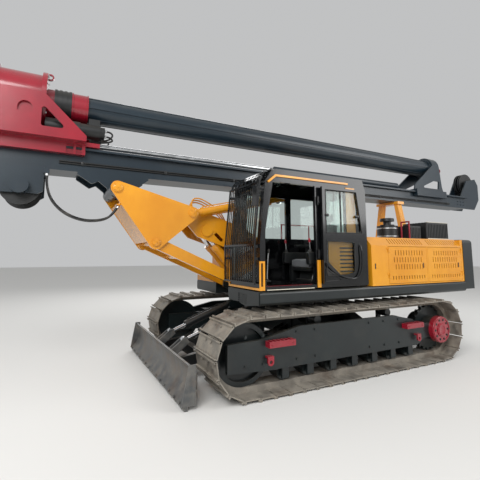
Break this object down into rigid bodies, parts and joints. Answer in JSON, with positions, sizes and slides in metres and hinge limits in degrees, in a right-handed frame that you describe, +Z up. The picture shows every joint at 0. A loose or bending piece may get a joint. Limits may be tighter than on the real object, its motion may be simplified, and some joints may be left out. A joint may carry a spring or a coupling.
{
  "type": "tractor-mounted pile drilling rig",
  "caption": "Tractor-mounted pile drilling rig: crawler chassis with dozer blade, slewing deck with cab, boom linkage, level folded mast, rotary head and telescopic kelly bar.",
  "frame": {"origin": "on the ground under the slew axis, which is also the bottom centre of the whole box", "axes": "+X forward along the machine and the folded mast, +Y to the machine's left, where the cab is, +Z up"},
  "size_m": [12, 3.4, 4.435],
  "materials": {
    "yellow_paint": "glossy machine yellow enamel",
    "cab_black": "glossy black enamel",
    "mast_blue": "satin blue-black enamel",
    "deck_black": "satin green-black enamel",
    "red_paint": "glossy crimson enamel",
    "worn_steel": "worn bare steel with dried soil",
    "blade_steel": "scraped steel with a bright top edge",
    "bare_steel": "machined steel",
    "black_fittings": "semi-gloss black",
    "seat_cloth": "grey seat cloth",
    "engine_grey": "painted cast iron",
    "glass": "clear safety glass",
    "hose_rubber": "smooth black hose rubber"
  },
  "bodies": {
    "undercarriage": {"track_left": "worn_steel", "track_right": "worn_steel", "track_frames": "deck_black", "track_rollers": "deck_black", "track_wheels": "deck_black", "red_fittings": "red_paint", "car_body": "deck_black"},
    "dozer_blade": {"blade": "blade_steel", "blade_arms": "deck_black"},
    "blade_barrel_pair": {"blade_barrels": "deck_black"},
    "blade_rod_pair": {"blade_rods": "bare_steel"},
    "upper": {"deck": "deck_black", "boom_lugs": "deck_black", "cab_tub": "cab_black", "cab_frame": "cab_black", "cab_roof": "cab_black", "cab_glass": "glass", "cab_guard": "cab_black", "cab_trim": "yellow_paint", "cab_fittings": "cab_black", "seat_and_consoles": "seat_cloth", "hood": "yellow_paint", "engine_block": "engine_grey", "counterweight": "deck_black", "air_cleaner": "black_fittings", "hand_rails": "red_paint", "mast_rest": "yellow_paint", "tanks": "yellow_paint"},
    "cab_door_leaf": {"cab_door": "cab_black", "door_glass": "glass"},
    "hood_front_leaf": {"hood_door_front": "yellow_paint"},
    "hood_rear_leaf": {"hood_door_rear": "yellow_paint"},
    "auxiliary_drum": {"aux_drum": "black_fittings"},
    "boom_arm": {"boom": "yellow_paint"},
    "link_arm": {"lower_links": "yellow_paint"},
    "triangle": {"triangle_frame": "yellow_paint", "mast_hoses": "hose_rubber"},
    "luff_barrel_pair": {"luff_barrels": "yellow_paint"},
    "luff_rod_pair": {"luff_rods": "bare_steel"},
    "mast_barrel_pair": {"mast_barrels": "yellow_paint"},
    "mast_rod_pair": {"mast_rods": "bare_steel"},
    "mast_frame": {"mast": "mast_blue", "mast_brackets": "mast_blue", "crowd_barrel": "mast_blue", "mast_head": "mast_blue"},
    "sheaves": {"head_sheaves": "black_fittings"},
    "winch_drum": {"main_drum": "black_fittings"},
    "power_head": {"head_carriage": "red_paint", "gear_housing": "red_paint", "drive_motors": "black_fittings", "crowd_rod": "bare_steel"},
    "sleeve": {"drive_sleeve": "red_paint", "sleeve_damper": "black_fittings"},
    "kelly_carriage": {"kelly_guide": "mast_blue"},
    "kelly_tube": {"kelly_outer": "mast_blue"},
    "kelly_tube_mid": {"kelly_mid": "bare_steel"},
    "kelly_tube_inner": {"kelly_inner": "bare_steel", "rope_swivel": "red_paint"}
  },
  "joints": [
    {"name": "blade_lift", "type": "hinge", "parent": "undercarriage", "child": "dozer_blade", "pos_m": [0.79, 0, 0.5], "axis": [0, -1, 0], "range_deg": [-6, 14]},
    {"name": "blade_barrel_turn", "type": "hinge", "parent": "undercarriage", "child": "blade_barrel_pair", "pos_m": [1.26, 0, 0.93], "axis": [0, -1, 0], "range_deg": [-9, 20]},
    {"name": "blade_rod_slide", "type": "slide", "parent": "blade_barrel_pair", "child": "blade_rod_pair", "axis": [0.9381, 0, -0.3465], "range_m": [-0.14, 0.065]},
    {"name": "slew", "type": "hinge", "parent": "undercarriage", "child": "upper", "pos_m": [0, 0, 1.09], "axis": [0, 0, 1], "continuous": true},
    {"name": "cab_door_swing", "type": "hinge", "parent": "upper", "child": "cab_door_leaf", "pos_m": [0.675, 1.465, 2.1], "axis": [0, 0, 1], "range_deg": [-180, 0]},
    {"name": "hood_front_swing", "type": "hinge", "parent": "upper", "child": "hood_front_leaf", "pos_m": [-0.838, 1.46, 1.6], "axis": [0, 0, -1], "range_deg": [0, 100]},
    {"name": "hood_rear_swing", "type": "hinge", "parent": "upper", "child": "hood_rear_leaf", "pos_m": [-2.882, 1.46, 1.6], "axis": [0, 0, 1], "range_deg": [0, 100]},
    {"name": "auxiliary_drum_spin", "type": "hinge", "parent": "upper", "child": "auxiliary_drum", "pos_m": [-0.025, 0, 1.6], "axis": [0, 1, 0], "continuous": true},
    {"name": "boom_luff", "type": "hinge", "parent": "upper", "child": "boom_arm", "pos_m": [0.75, 0, 1.76], "axis": [0, -1, 0], "range_deg": [0, 35]},
    {"name": "link_swing", "type": "hinge", "parent": "upper", "child": "link_arm", "pos_m": [1.32, 0, 1.3], "axis": [0, -1, 0], "range_deg": [0, 35]},
    {"name": "triangle_level", "type": "hinge", "parent": "boom_arm", "child": "triangle", "pos_m": [2.3, 0, 2.45], "axis": [0, -1, 0], "range_deg": [-35, 0]},
    {"name": "luff_barrel_turn", "type": "hinge", "parent": "upper", "child": "luff_barrel_pair", "pos_m": [1.15, 0, 1.23], "axis": [0, -1, 0], "range_deg": [0, 29]},
    {"name": "luff_rod_slide", "type": "slide", "parent": "luff_barrel_pair", "child": "luff_rod_pair", "axis": [0.6546, 0, 0.7559], "range_m": [0, 0.37]},
    {"name": "mast_tilt", "type": "hinge", "parent": "triangle", "child": "mast_frame", "pos_m": [3.44, 0, 2.76], "axis": [0, 1, 0], "range_deg": [0, 95], "deforming": ["mast_hoses"]},
    {"name": "mast_barrel_turn", "type": "hinge", "parent": "triangle", "child": "mast_barrel_pair", "pos_m": [2.3, 0, 2.45], "axis": [0, 1, 0], "range_deg": [0, 102]},
    {"name": "mast_rod_slide", "type": "slide", "parent": "mast_barrel_pair", "child": "mast_rod_pair", "axis": [-0.9759, 0, 0.2184], "range_m": [0, 1.72]},
    {"name": "sheave_spin", "type": "hinge", "parent": "mast_frame", "child": "sheaves", "pos_m": [-5.64, 0, 3.695], "axis": [0, 1, 0], "continuous": true},
    {"name": "winch_drum_spin", "type": "hinge", "parent": "mast_frame", "child": "winch_drum", "pos_m": [4.64, 0, 2.7], "axis": [0, 1, 0], "continuous": true},
    {"name": "head_crowd", "type": "slide", "parent": "mast_frame", "child": "power_head", "axis": [-1, 0, 0], "range_m": [0, 3]},
    {"name": "drive_spin", "type": "hinge", "parent": "power_head", "child": "sleeve", "pos_m": [4.4, 0, 3.975], "axis": [1, 0, 0], "continuous": true},
    {"name": "kelly_feed", "type": "slide", "parent": "mast_frame", "child": "kelly_carriage", "axis": [-1, 0, 0], "range_m": [-3.3, 0.5]},
    {"name": "kelly_spin", "type": "hinge", "parent": "kelly_carriage", "child": "kelly_tube", "pos_m": [-4.1, 0, 3.975], "axis": [1, 0, 0], "continuous": true},
    {"name": "kelly_mid_slide", "type": "slide", "parent": "kelly_tube", "child": "kelly_tube_mid", "axis": [1, 0, 0], "range_m": [0, 8]},
    {"name": "kelly_inner_slide", "type": "slide", "parent": "kelly_tube_mid", "child": "kelly_tube_inner", "axis": [1, 0, 0], "range_m": [0, 8]}
  ],
  "couplings": [
    {"joint": "blade_barrel_turn", "follows": "blade_lift", "ratio": 1.295},
    {"joint": "blade_rod_slide", "follows": "blade_lift", "m_per_rad": -0.53},
    {"joint": "link_swing", "follows": "boom_luff", "ratio": 1},
    {"joint": "triangle_level", "follows": "boom_luff", "ratio": -1},
    {"joint": "luff_barrel_turn", "follows": "boom_luff", "ratio": 0.8031},
    {"joint": "luff_rod_slide", "follows": "boom_luff", "m_per_rad": 0.588},
    {"joint": "mast_barrel_turn", "follows": "mast_tilt", "ratio": 1.069},
    {"joint": "mast_rod_slide", "follows": "mast_tilt", "m_per_rad": 1.0316},
    {"joint": "kelly_spin", "follows": "drive_spin", "ratio": 1}
  ]
}
